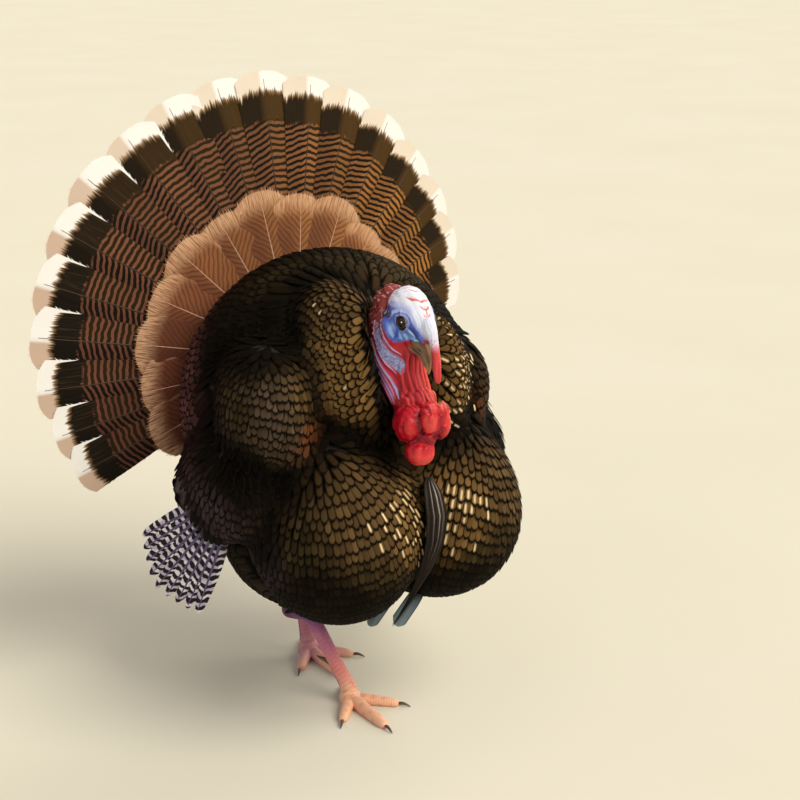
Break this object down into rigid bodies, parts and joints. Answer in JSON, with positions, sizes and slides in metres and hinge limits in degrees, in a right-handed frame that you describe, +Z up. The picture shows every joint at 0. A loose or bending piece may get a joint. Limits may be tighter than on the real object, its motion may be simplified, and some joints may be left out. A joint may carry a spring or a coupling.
{
  "type": "wild turkey figure",
  "caption": "Life-size wild turkey gobbler strutting: tail spread in a fan, feathers puffed, wings drooped, head tucked, one foot stepping forward.",
  "frame": {"origin": "middle of the whole bird's footprint, on the floor", "axes": "+Z up, the bird faces -Y, its left side is +X"},
  "size_m": [0.6982, 0.5034, 0.8425],
  "materials": {
    "body_feather": "dark bronze-brown body feathers, each edged black",
    "rufous_feather": "chestnut tail coverts with paler frayed tips",
    "tail_feather": "brown tail feathers barred black, a black band and a white tip",
    "barred_quill": "wing quills barred black and white",
    "red_skin": "moist bare red skin in folds and knobs",
    "pale_skin": "bare head skin, white crown and blue face",
    "horn": "olive-brown horn",
    "eye": "wet dark brown eye",
    "leg_skin": "scaled coral-pink skin",
    "claw": "dark brown claws and spurs",
    "beard_bristle": "coarse dark bristles with grey lights"
  },
  "bodies": {
    "root": {"beard": "beard_bristle", "belly": "body_feather", "bill_lower": "horn", "bill_upper": "horn", "breast_left": "body_feather", "breast_right": "body_feather", "caruncles": "red_skin", "claw_hind_left": "claw", "claw_hind_right": "claw", "claw_inner_left": "claw", "claw_inner_right": "claw", "claw_middle_left": "claw", "claw_middle_right": "claw", "claw_outer_left": "claw", "claw_outer_right": "claw", "eye_left": "eye", "eye_right": "eye", "foot_pad_left": "leg_skin", "foot_pad_right": "leg_skin", "head": "pale_skin", "mantle": "body_feather", "neck": "red_skin", "neck_ruff_left": "body_feather", "neck_ruff_right": "body_feather", "rump": "body_feather", "shank_left": "leg_skin", "shank_right": "leg_skin", "snood": "red_skin", "spur_left": "claw", "spur_right": "claw", "tail_coverts": "rufous_feather", "tail_fan": "tail_feather", "thigh_left": "body_feather", "thigh_right": "body_feather", "toe_hind_left": "leg_skin", "toe_hind_right": "leg_skin", "toe_inner_left": "leg_skin", "toe_inner_right": "leg_skin", "toe_middle_left": "leg_skin", "toe_middle_right": "leg_skin", "toe_outer_left": "leg_skin", "toe_outer_right": "leg_skin", "wing_coverts_left": "body_feather", "wing_coverts_right": "body_feather", "wing_primaries_left": "barred_quill", "wing_primaries_right": "barred_quill", "wing_secondaries_left": "body_feather", "wing_secondaries_right": "body_feather", "wing_shoulder_left": "body_feather", "wing_shoulder_right": "body_feather"}
  },
  "joints": []
}
